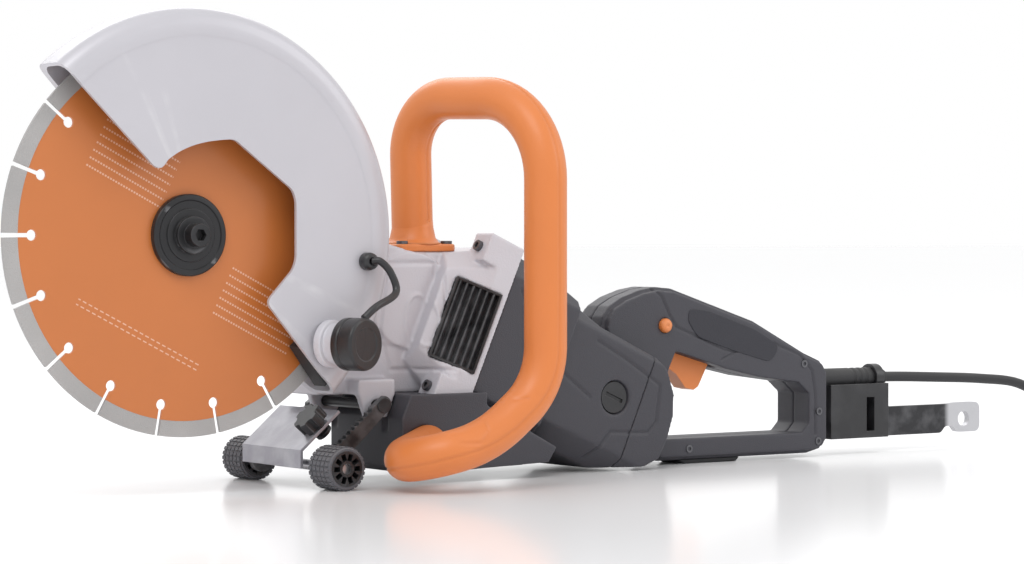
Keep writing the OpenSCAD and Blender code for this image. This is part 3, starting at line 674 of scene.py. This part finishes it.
class SAW_OT_stage(bpy.types.Operator):
    """Camera, pale floor, soft lights and the finishes"""
    bl_idname = "saw.stage"
    bl_label = "Stage"

    def execute(self, context):
        scene = context.scene
        view = scene.saw_stage
        lens = bpy.data.cameras.new("camera")
        camera = add("camera", lens)
        camera.location = view.camera_place
        camera.rotation_euler = (math.pi / 2 - view.camera_dip, 0, -view.camera_heading)
        lens.lens = view.camera_lens
        lens.sensor_width = 36
        lens.clip_end = 200
        scene.camera = camera
        scene.view_settings.view_transform = "Standard"

        world = bpy.data.worlds.new("studio")
        world.use_nodes = True
        wire(world.node_tree, world.node_tree.nodes["Background"], {0: (1.0, 1.0, 1.0, 1), 1: 1.0})
        scene.world = world

        middle = (0.05, 0.0, 0.12)
        area_light("key", (-1.4, -1.2, 2.4), middle, (1.6, 1.2), 24)
        area_light("fill", (1.8, -1.6, 1.3), middle, (1.2, 1.2), 9)
        area_light("rim", (0.6, 2.0, 1.8), middle, (2.0, 0.8), 16)

        far = 4e4
        corners = [(-far, -far, 0), (far, -far, 0), (far, far, 0), (-far, far, 0)]
        floor = piece("floor", corners, [(0, 1, 2, 3)])
        paint = bpy.data.materials.new("floor")
        paint.use_nodes = True
        wire(paint.node_tree, paint.node_tree.nodes["Principled BSDF"], {
            "Base Color": (0.965, 0.965, 0.975, 1), "Roughness": 0.16, "IOR": 1.22})
        floor.data.materials.append(paint)
        make_looks(scene.saw_paint)
        return {"FINISHED"}


# ---------- cord ----------

CORD_POINTS = [(657, 52, 67), (740, 52, 67), (800, 52, 65), (860, 52, 62), (910, 53, 56),
               (955, 57, 36), (995, 70, 12), (1015, 92, 5)]
COIL_CENTRE = (1085, 118)
COIL_STEPS = 36
CLIMB_FROM = 0.72  # the share of each turn after which the cord moves to its next place
TAIL_STEPS = 9
PLUG_Z = 40


def coil_point(reach, angle, z):
    return Vector((COIL_CENTRE[0] + reach * math.cos(angle), COIL_CENTRE[1] + reach * math.sin(angle), z))


def coil_route(radius, diameter, turns):
    """Turns laid in columns and layers a little over one diameter apart."""
    pitch = diameter * 1.01

    def cell(number):
        layer, column = divmod(min(number, turns - 1), 3)
        column = column if layer % 2 == 0 else 2 - column
        return radius + pitch * (1 - column), diameter / 2 + pitch * layer

    route = []
    for i in range(turns * COIL_STEPS + 1):
        turn, share = divmod(i, COIL_STEPS)
        share = ease(max(0.0, (share / COIL_STEPS - CLIMB_FROM) / (1 - CLIMB_FROM)))
        (r0, z0), (r1, z1) = cell(turn), cell(turn + 1)
        angle = math.pi - 2 * math.pi * i / COIL_STEPS
        route.append(coil_point(r0 + (r1 - r0) * share, angle, z0 + (z1 - z0) * share))
    return route


def cord_route(radius, diameter, turns):
    """The lead over the floor, the coil, and the rise inside it to the plug."""
    coil = coil_route(radius, diameter, turns)
    lead = spline(CORD_POINTS + [tuple(coil[0])], 6)
    low = coil[-1].z
    tail = []
    for i in range(1, TAIL_STEPS + 1):
        share = i / TAIL_STEPS
        angle = math.pi - share * math.pi / 2
        tail.append(coil_point(radius - diameter, angle, low + (PLUG_Z - low) * ease(share)))
    return lead[:-1] + coil + tail


class SAW_OT_cord(bpy.types.Operator):
    """Power cord with its strain relief, its stored coil and its plug"""
    bl_idname = "saw.cord"
    bl_label = "Cord"

    def execute(self, context):
        shape = context.scene.saw_shape
        diameter = shape.cord_diameter / MM
        route = cord_route(shape.coil_radius / MM, diameter, shape.coil_turns)
        cord = tube("power_lead", route, diameter / 2, sides=14)
        smooth(cord.data)
        finish(cord, ROOT, "soft_rubber", "rubber", "power_cord", "cord_coil")
        plug = bevelled("mains_plug", "plug", 4, 4, ROOT, "soft_rubber", "rubber")

        collar = [(4.55, 0), (10.5, 0), (10.5, 2), (9, 3)]
        for i in range(3):
            collar += [(9, 40 + i * 7), (8.1, 41 + i * 7), (8.1, 43 + i * 7), (9, 44 + i * 7)]
        collar += [(9, 62), (6.7, 81.2), (6.2, 82), (4.55, 82)]
        sleeve = turned("cord_strain_relief", collar, (657, BODY_Y, 67), (1, 0, 0), 40)
        finish(bevel(sleeve, 0.4, 2), ROOT, "soft_rubber", "rubber", "cord_sleeve")
        return {"FINISHED"}


# ---------- blade ----------

class SAW_OT_blade(bpy.types.Operator):
    """Disc, segments, flanges and the spindle bolt"""
    bl_idname = "saw.blade"
    bl_label = "Blade"

    def execute(self, context):
        dress("blade_paint", "blade_core")
        dress("segment", "blade_segments")
        dress("steel", "spindle")
        steps = [(5.2, -9.1), (13.2, -9.1), (13.8, -8.9), (14, -8.4), (14, -7.6), (19, -7.6), (19.8, -7.3),
                 (20, -6.6), (20, -6.0), (25.5, -5.8), (26, -6.6), (26.6, -6.8), (29.6, -6.4), (30.4, -5.6),
                 (30.6, -4.6), (30.6, -1.1), (5.2, -1.1)]
        flange = turned("clamp_flange", [(r, -y) for r, y in steps], BLADE_CENTRE, NEARWARD, 96)
        finish(bevel(flange, 0.3, 2, 25), "blade_set", "dark_steel", "dark_steel", "outer_flange")
        bevelled("spindle_bolt_head", "spindle_bolt", 0.7, 3, "blade_set", "dark_steel", "dark_steel", 35)
        bevelled("backing_flange", "inner_flange", 0.5, 2, "blade_set", "dark_steel", "dark_steel", 35)
        return {"FINISHED"}


# ---------- guard ----------

FACE_CUT = [(-102, 111), (-41, 51), (-38, 49), (-34, 49), (-31, 52), (-29, 55), (-20, 61),
            (-8, 66), (5, 69), (18, 70.5), (27, 71), (77, 34), (80, 26), (80, -18), (77, -26),
            (54, -50), (109, -114), (109, -260), (-260, -260), (-260, 285)]


def rounded_outline(points, radius, steps=4):
    """An outline whose corners are turned into short arcs."""
    points = [Vector(p) for p in points]
    outline = []
    for i, corner in enumerate(points):
        a = points[i - 1] - corner
        b = points[(i + 1) % len(points)] - corner
        reach = min(radius, a.length * 0.42, b.length * 0.42)
        start, end = corner + a.normalized() * reach, corner + b.normalized() * reach
        for k in range(steps + 1):
            t = k / steps
            outline.append(tuple(start * (1 - t) ** 2 + corner * 2 * t * (1 - t) + end * t * t))
    return outline


class SAW_OT_guard(bpy.types.Operator):
    """Guard shell, hub, deflector, dust port, cap and tether"""
    bl_idname = "saw.guard"
    bl_label = "Guard"

    def execute(self, context):
        corner = context.scene.saw_shape.guard_corner / MM
        rim, wall, near, far = 168, 3, -25, 18
        outer = [(40, near), (146, near), (147.5, near - 0.9), (rim - corner - 2, near - 0.9)]
        outer += arc(rim - corner, near + corner - 0.2, corner, -90, 0, 6)
        outer += arc(rim - corner * 0.7, far - corner * 0.7, corner * 0.7, 0, 90, 5)
        outer += [(40, far)]
        bend = corner - wall
        inner = [(40, far - wall - 4)] + arc(rim - wall - bend, far - wall - 4 - bend, bend, 90, 0, 4)
        inner += arc(rim - wall - bend, near + wall + bend, bend, 0, -90, 4) + [(40, near + wall)]
        profile = [(r, -y) for r, y in outer + inner]
        turn = Matrix.Rotation(math.pi / 2, 4, "X")
        shell = turned("guard_skin", profile, BLADE_CENTRE, NEARWARD, 110, 178.6, -46, turn)
        holes = [(x, z + SPINDLE_Z) for x, z in rounded_outline(FACE_CUT, 6)]
        cut(shell, prism("face_cutter", holes, near - 4, near + wall + 3))
        bore = [(0.001, 4), (32, 4), (32, 30), (0.001, 30)]
        cut(shell, turned("bore_cutter", bore, BLADE_CENTRE, FARWARD, 64))
        bevel(shell, 0.9, 2, 38)
        hub = [(28.1, 12), (57, 12), (58, 13), (58, 16.4), (57.4, 17.4), (36, 17.6), (34, 19),
               (34, 22.4), (33.4, 23), (28.1, 23)]
        hub = turned("guard_hub_part", hub, BLADE_CENTRE, FARWARD, 80)
        finish(join("guard_skin", shell, hub), "guard", "guard_paint", "guard", "guard_shell")
        bevelled("rubber_deflector", "guard_deflector", 1.2, 3, "guard", "soft_rubber", "rubber")

        port = Vector((108, -25, 112))
        boss = [(10, -1), (17, -1), (18, 0.4), (18, 5), (17.2, 6), (15.4, 6.6), (15, 7.4), (15, 31),
                (14.4, 32), (10.6, 32), (10, 31.4)]
        port_piece = turned("dust_spigot", boss, port, PORT_AXIS, 56)
        finish(bevel(port_piece, 0.3, 2, 25), "guard", "cast_alloy", "cast", "dust_port")
        lid = [(0.001, 33), (15.05, 33), (15.05, 16.9), (18.4, 16.9), (19.6, 17.6), (20, 18.8), (20, 22.5),
               (19.3, 23.2), (19.3, 24.6), (20, 25.2), (20, 34.6), (19.4, 36.2), (18, 37), (13, 37),
               (12.2, 36.3), (0.001, 36.1)]
        cap = turned("dust_plug", lid, port, PORT_AXIS, 72)
        finish(bevel(cap, 0.3, 2, 25), "dust_cap", "black_plastic", "black_plastic", "dust_cap")

        start = Vector((142, -33, 174))
        top = port + PORT_AXIS * 31 + Vector((3, 0, 19.4))
        bulge = [start, start + Vector((5, -4, 0)), start + Vector((12, -8, -9)),
                 start + Vector((13, -13, -24)), start.lerp(top, 0.8) + Vector((7, -4, 0)), top]
        strap = tube("cap_strap", spline(bulge, 7), 2.9, sides=18)
        seat = (142, -30, 174)
        button = [(0.001, 4.0), (4.0, 3.8), (6.2, 2.6), (6.8, 0), (6.8, -5.5), (0.001, -5.5)]
        button = turned("strap_button", button, seat, NEARWARD, 36)
        socket = [(0.001, 6), (2.4, 6), (2.4, 1.5), (0.001, 1.5)]
        cut(button, turned("socket_cutter", socket, seat, NEARWARD, 6))
        finish(join("cap_strap", strap, button), "guard", "soft_rubber", "black_plastic", "cap_tether")
        return {"FINISHED"}


# ---------- gearbox and belt arm ----------

VENT_FRAME = (MOTOR_FRAME @ Matrix.Translation((4, -54, 39)) @ Matrix.Rotation(math.radians(19), 4, "X"))
MIRROR = MOTOR_FRAME @ Matrix.Scale(-1, 4, (0, 1, 0)) @ MOTOR_FRAME.inverted()


def flip(obj):
    """The same mesh on the far side of the motor's middle plane, turned right side out."""
    obj.data.transform(TO_FRAME @ MIRROR @ TO_FRAME.inverted())
    obj.data.flip_normals()
    return obj


class SAW_OT_gearbox(bpy.types.Operator):
    """Gearbox casting, belt arm and vents"""
    bl_idname = "saw.gearbox"
    bl_label = "Gearbox"

    def execute(self, context):
        oval = [(219 + 11 * math.cos(a), 127 + 20 * math.sin(a)) for a in np.linspace(0, 2 * math.pi, 33)]
        tray = [(192, 172), (236, 172), (236, 88), (196, 88), (184, 120), (192, 172)]
        moulded("gearbox_casting", "gearbox_housing", 1.35, 4, "cast_alloy", "cast",
                (oval, 2.4, -1.3, (-1,)), (tray, 2.6, 1.4, (-1,)))
        moulded("belt_arm_case", "arm_housing", 1.3, 3, "cast_alloy", "cast")
        moulded("belt_arm_lid", "arm_cover", 1.2, 2, "cast_alloy", "cast")

        sets = []
        for side in (0, 1):
            rim = piece("vent_rim", *hollow_box(68, 6, 40, 2.2),
                        VENT_FRAME @ Matrix.Translation((-34, -1.6, -20)))
            slats = grown("vent_slats", "slats", "black_plastic", {
                "Count": 6, "Pitch": 5.9, "Slat": (65, 6.0, 2.0), "Tilt": math.radians(38)},
                place=VENT_FRAME @ Matrix.Translation((0, 1.4, -14.7)))
            back = prism_box("vent_back", (-33, 3.4, -19), (33, 4.4, 19), VENT_FRAME)
            for part in (rim, slats, back):
                sets.append(flip(part) if side else part)
        finish(bevel(join("vent_louvres", *sets), 0.25, 1), ROOT, "black_plastic", "black_plastic",
               "vent_grilles")
        return {"FINISHED"}


def prism_box(name, low, high, place):
    verts = [(x, y, z) for x in (low[0], high[0]) for y in (low[1], high[1]) for z in (low[2], high[2])]
    faces = [(0, 1, 3, 2), (4, 6, 7, 5), (0, 4, 5, 1), (2, 3, 7, 6), (0, 2, 6, 4), (1, 5, 7, 3)]
    return piece(name, verts, faces, place)


def hollow_box(wide, deep, tall, rim):
    """A frame with four sides, open along Y."""
    rings = [(0, 0, wide, tall), (rim, rim, wide - rim, tall - rim)]
    verts = [(x, y, z) for y in (0, deep) for x0, z0, x1, z1 in rings
             for x, z in ((x0, z0), (x1, z0), (x1, z1), (x0, z1))]
    faces = []
    for k in range(4):
        m = (k + 1) % 4
        faces += [(k, m, 4 + m, 4 + k), (8 + k, 8 + m, 12 + m, 12 + k), (k, m, 8 + m, 8 + k),
                  (4 + k, 4 + m, 12 + m, 12 + k)]
    return verts, faces


# ---------- motor ----------

class SAW_OT_motor(bpy.types.Operator):
    """Motor housing, its rear cover, brush caps and the lower bracket"""
    bl_idname = "saw.motor"
    bl_label = "Motor"

    def execute(self, context):
        cover_line = [(372, 12), (392, 33), (431, 31), (440, 40), (444, 70), (409, 92), (380, 108)]
        side_line = [(300, 150), (322, 100), (372, 62)]
        moulded("motor_casing", "motor_housing", 1.4, 5, "housing_plastic", "dark_plastic",
                (cover_line, 1.9, 1.5), (side_line, 1.8, 1.3))
        moulded("motor_end_cover", "motor_rear_cover", 1.3, 5, "housing_plastic", "dark_plastic",
                (cover_line, 1.9, 1.5))
        bevelled("brush_cap_pair", "brush_caps", 0.6, 3, ROOT, "black_plastic", "black_plastic")
        moulded("belly_bracket", "lower_bracket", 1.4, 4, "housing_plastic", "dark_plastic")
        return {"FINISHED"}


# ---------- front handle ----------

HANDLE_POINTS = [(232, 48, 186), (229, 48, 303), (258.5, -97, 299), (258.5, -97, 80),
                 (205, -97, 38), (108, -97, 18.5), (206, -14, 30)]
HANDLE_BENDS = [44, 64, 60, 110, 26]


def even_route(route, gap):
    """The same route with its points about gap apart, keeping both ends."""
    even = []
    for a, b in zip(route, route[1:]):
        count = max(1, round((b - a).length / gap))
        even += [a.lerp(b, i / count) for i in range(count)]
    return even + [route[-1]]


class SAW_OT_front_handle(bpy.types.Operator):
    """Wrap-round front handle with its foot, mould line and clip"""
    bl_idname = "saw.front_handle"
    bl_label = "Front handle"

    def execute(self, context):
        radius = context.scene.saw_shape.tube_diameter / MM / 2
        route = even_route(fillet(HANDLE_POINTS, HANDLE_BENDS, 16), 1.7)
        rail = tube("handle_rail", route, radius, 80, grooves=(9, 49), depth=0.9)
        foot = [(204, 24), (260, 24), (260, 72), (204, 72)]
        foot = rounded_outline(foot, 9, 5)
        verts = [(x, y, z) for z in (181, 187) for x, y in foot]
        count = len(foot)
        faces = [range(count), range(count, 2 * count)]
        faces += [(i, (i + 1) % count, count + (i + 1) % count, count + i) for i in range(count)]
        plate = bevel(piece("handle_foot", verts, faces), 1.6, 3)
        collar = [(12, 184), (25, 187), (21, 188.4), (18.4, 192), (16.7, 200), (16.2, 206), (12, 206)]
        collar = turned("handle_collar", collar, (232, 48, 0), (0, 0, 1), 48)
        handle = join("wrap_handle", rail, plate, collar)
        clip = [(165.6, 46.1), (171, 39.1), (188.2, 38.5), (195.5, 45.7), (196.4, 54.6)]
        engrave(handle, clip, 1.5, 1.0, (-1,))
        engrave(handle, [(209.4, 68.5), (232.5, 70.8)], 1.5, 1.0, (-1,))
        finish(handle, ROOT, "handle_orange", "orange", "front_handle")
        return {"FINISHED"}


# ---------- rear handle ----------

GRIP_LINES = [
    [(463, 149), (471, 142), (479, 127), (487, 116), (512, 107), (539, 96), (548, 95), (567, 109),
     (578, 104)],
    [(536, 88), (550, 94), (578, 104), (595, 100), (623, 90), (637, 76), (641, 54), (641, 20)],
]
PAD_OUTLINE = [(500, 132), (520, 130), (572, 113), (600, 98), (590, 84), (545, 96), (508, 108), (498, 122)]


class SAW_OT_rear_handle(bpy.types.Operator):
    """Two-part rear handle with its soft pads and foot"""
    bl_idname = "saw.rear_handle"
    bl_label = "Rear handle"

    def execute(self, context):
        grooves = [(line, 1.7, 1.5) for line in GRIP_LINES]
        for side in ("left", "right"):
            moulded("grip_half_" + side, "rear_handle_" + side, 1.0, 9, "housing_plastic",
                    "dark_plastic", *grooves)
        pads = []
        for skin in (-GRIP_HALF - 2.7, GRIP_HALF):
            pads.append(prism("pad", rounded_outline(PAD_OUTLINE, 7), BODY_Y + skin, BODY_Y + skin + 2.7))
        finish(bevel(join("grip_pads", *pads), 0.8, 2), ROOT, "soft_rubber", "pad", "grip_pad")
        bevelled("rest_foot", "rear_foot", 0.8, 2, ROOT, "soft_rubber", "rubber")
        return {"FINISHED"}


class SAW_OT_controls(bpy.types.Operator):
    """Trigger and lock-off button"""
    bl_idname = "saw.controls"
    bl_label = "Controls"

    def execute(self, context):
        bevelled("trigger_blade", "trigger", 2.2, 4, "trigger", "handle_orange", "orange", 50)
        dome = [(0.001, 1.4), (3.4, 1.1), (5.2, 0.2), (6, -1.2), (6, -11), (0.001, -11)]
        button = turned("lock_button", dome, (474, BODY_Y - GRIP_HALF - 5, 118), NEARWARD, 40)
        smooth(button.data)
        finish(button, "lockoff_button", "handle_orange", "orange", "lockoff_button")
        return {"FINISHED"}


# ---------- carriage and rollers ----------

def toothed_arm(name, y):
    """A flat arm from the axle to the pivot whose upper edge is cut into teeth."""
    pivot = Vector((172, 62))
    axle = Vector((AXLE.x, AXLE.z))
    along = (pivot - axle).normalized()
    up = Vector((-along.y, along.x))
    reach = (pivot - axle).length
    outline = []
    teeth = 9
    for a in np.linspace(math.radians(-40), math.radians(40), 9):
        outline.append(pivot + along * 7.5 * math.cos(a) + up * 7.5 * math.sin(a))
    for i in range(teeth):
        t = reach * (0.86 - 0.66 * i / teeth)
        outline += [axle + along * t + up * 6, axle + along * (t - 1.4) + up * 4.3,
                    axle + along * (t - 3.2) + up * 4.3]
    for a in np.linspace(math.radians(55), math.radians(305), 17):
        outline.append(axle + along * 10 * math.cos(a) + up * 10 * math.sin(a))
    outline.append(pivot - up * 6)
    return prism(name, [tuple(p) for p in outline], y, y + 6)


def roller(side, y, blocks):
    """One roller: its wheel, and a tyre with rows of tread blocks."""
    body = side + "_roller"
    bevelled(side + "_hub", side + "_wheel", 0.4, 2, body, "black_plastic", "black_plastic", 40)
    ring = [(13.5, 0.4), (15.2, 0.2), (16.1, 1.4), (16.1, 28.6), (15.2, 29.8), (13.5, 29.6)]
    tyre = turned("tyre", ring, (AXLE.x, y, AXLE.z), FARWARD, 64)
    lugs = grown("lugs", "ring", "tread", {
        "Count": blocks, "Radius": 15.9, "Block": (2.1, 2.7, 4.6), "Rows": 5, "Pitch": 5.7},
        place=Matrix.Translation((AXLE.x, y + 3.6, AXLE.z)) @ Matrix.Rotation(-math.pi / 2, 4, "X"))
    tread = join(side + "_tyre", tyre, lugs)
    smooth(tread.data, False)
    finish(tread, body, "tread_rubber", "tread", side + "_tread")


class SAW_OT_carriage(bpy.types.Operator):
    """Roller carriage: arms, plate, knob, pins and both rollers"""
    bl_idname = "saw.carriage"
    bl_label = "Carriage"

    def execute(self, context):
        arms = join("toothed_arms", toothed_arm("near_arm", -3), toothed_arm("far_arm", 91))
        finish(bevel(arms, 0.5, 2, 30), "roller_carriage", "black_plastic", "arm", "carriage_arms")
        bevelled("depth_plate", "carriage_plate", 0.7, 2, "roller_carriage", "guard_paint", "plate")
        bevelled("lobed_knob", "carriage_knob", 1.2, 3, "carriage_knob", "black_plastic",
                 "black_plastic", 40)
        bevelled("pivot_pin_turned", "pivot_pin", 0.5, 2, ROOT, "steel", "dark_steel")
        dress("steel", "wheel_axle")
        blocks = context.scene.saw_shape.tread_blocks
        roller("near", -34, blocks)
        roller("far", 98, blocks)
        return {"FINISHED"}


# ---------- screws, spanner and holder ----------

class SAW_OT_fittings(bpy.types.Operator):
    """Screws, the spanner and its holder"""
    bl_idname = "saw.fittings"
    bl_label = "Fittings"

    def execute(self, context):
        down = MOTOR_FRAME.to_3x3() @ Vector((0, 0, -1))
        corners = [MOTOR_FRAME @ Vector((x, y, 28.5)) for x in (-60, 60) for y in (-48, 48)]
        grip = BODY_Y - GRIP_HALF - 1.6
        groups = (
            ((0, 0, 1), 4.6, 3.0, [(211, 31, 188), (211, 65, 188), (253, 31, 188), (253, 65, 188)]),
            (NEARWARD, 3.4, 2.4, [(628, grip, 82), (645, grip, 40), (644, grip, 14), (500, grip, 13)]),
            (NEARWARD, 5.0, 4.0, [(140, 22.6, 82)]),
            (tuple(down), 4.4, 4.0, corners),
        )
        heads = []
        for axis, radius, height, points in groups:
            size = {"Radius": radius, "Height": height, "Axis": axis}
            heads.append(grown("heads", "screws", "screw", size, points))
        finish(bevel(join("screw_heads", *heads), 0.25, 1), ROOT, "steel", "screw", "body_screws")

        bevelled("spanner_holder", "tool_holder", 1.4, 3, ROOT, "black_plastic", "black_plastic")
        outline = [(691, 14), (808, 14), (813, 20), (823, 20), (828, 14), (856, 14), (856, 41),
                   (828, 41), (815, 40), (691, 40)]
        spanner = prism("ring_spanner", rounded_outline(outline, 7, 5), 49, 55)
        eye = [(0.001, -2), (7, -2), (7, 12), (0.001, 12)]
        cut(spanner, turned("eye_cutter", eye, (836, 47, 26), FARWARD, 48))
        finish(bevel(spanner, 0.8, 3), "spanner", "spanner_steel", "spanner", "spanner")
        return {"FINISHED"}


class SAW_OT_inside(bpy.types.Operator):
    """Finishes for the parts inside the casings"""
    bl_idname = "saw.inside"
    bl_label = "Inside"

    def execute(self, context):
        dress("alloy", "driven_pulley", "drive_pulley", "cooling_fan")
        dress("steel", "shaft_bearings", "layshaft", "bevel_gear", "bevel_pinion", "armature_shaft")
        dress("belt", "drive_belt")
        dress("lamination", "armature_core", "stator_core")
        dress("copper", "armature_windings", "commutator", "field_windings")
        dress("carbon", "brushes")
        dress("brass", "brush_holders")
        dress("black_plastic", "switch_body")
        return {"FINISHED"}


class SAW_PT_panel(bpy.types.Panel):
    bl_idname = "SAW_PT_panel"
    bl_label = "Cut-off saw"
    bl_space_type = "VIEW_3D"
    bl_region_type = "UI"
    bl_category = "Saw"

    def draw(self, context):
        for group in (context.scene.saw_paint, context.scene.saw_shape, context.scene.saw_stage):
            for name in group.__annotations__:
                self.layout.prop(group, name)
        for operator in OPERATORS:
            self.layout.operator(operator.bl_idname)


SETTINGS = {"saw_paint": PaintSettings, "saw_shape": ShapeSettings, "saw_stage": StageSettings}
OPERATORS = (SAW_OT_stage, SAW_OT_cord, SAW_OT_blade, SAW_OT_guard, SAW_OT_gearbox, SAW_OT_motor,
             SAW_OT_front_handle, SAW_OT_rear_handle, SAW_OT_controls, SAW_OT_carriage,
             SAW_OT_fittings, SAW_OT_inside)


def register():
    for kind in (*SETTINGS.values(), *OPERATORS, SAW_PT_panel):
        bpy.utils.register_class(kind)
    for name, kind in SETTINGS.items():
        setattr(bpy.types.Scene, name, bpy.props.PointerProperty(type=kind))


def unregister():
    for name in SETTINGS:
        delattr(bpy.types.Scene, name)
    for kind in (SAW_PT_panel, *reversed(OPERATORS), *SETTINGS.values()):
        bpy.utils.unregister_class(kind)


def main():
    register()
    for operator in OPERATORS:
        category, name = operator.bl_idname.split(".")
        getattr(getattr(bpy.ops, category), name)()


if __name__ == "__main__":
    main()
